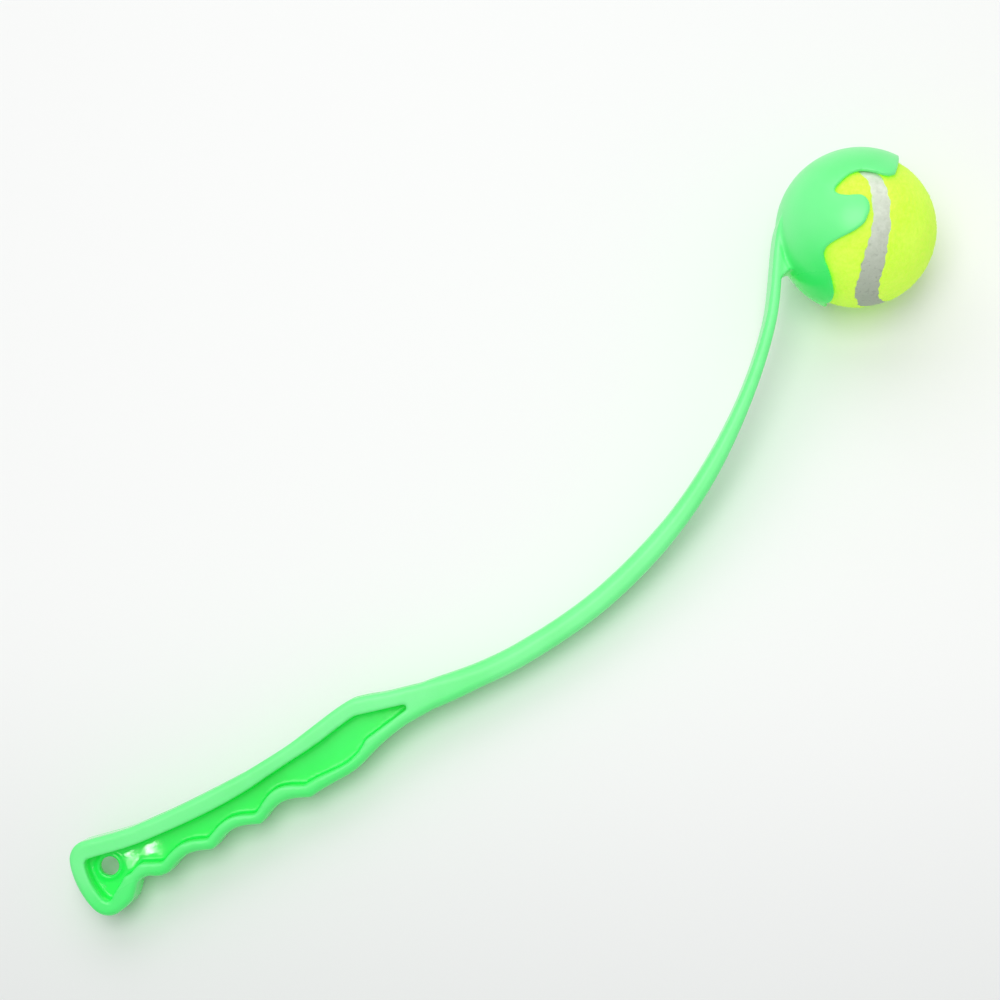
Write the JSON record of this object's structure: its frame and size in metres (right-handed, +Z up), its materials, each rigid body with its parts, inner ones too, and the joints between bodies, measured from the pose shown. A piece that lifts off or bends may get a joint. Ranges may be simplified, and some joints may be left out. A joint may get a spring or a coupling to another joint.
{
  "type": "dog ball thrower",
  "caption": "Bowed plastic ball thrower lying on its side, with a recessed finger-grooved grip and a clawed cup that holds a tennis ball.",
  "frame": {"origin": "on the table, at the middle of the bounding box's bottom", "axes": "+X from the hanging hole to the middle of the cup, +Z up from the table, +Y towards the hollow side of the bow at the grip"},
  "size_m": [0.4642, 0.0884, 0.0689],
  "materials": {
    "green_plastic": "semi-gloss injection-moulded polypropylene",
    "core_rubber": "moulded rubber, hidden under the felt",
    "yellow_felt": "short fluorescent wool and nylon nap",
    "seam_rubber": "matt pale grey rubber cement"
  },
  "bodies": {
    "thrower": {"thrower_moulding": "green_plastic"},
    "ball": {"rubber_core_half_1": "core_rubber", "rubber_core_half_2": "core_rubber", "felt_panel_1": "yellow_felt", "felt_panel_2": "yellow_felt", "seam_band": "seam_rubber"}
  },
  "joints": [
    {"name": "ball_release", "type": "slide", "parent": "thrower", "child": "ball", "axis": [0.4836, -0.8435, -0.2336], "range_m": [0, 0.05]}
  ]
}
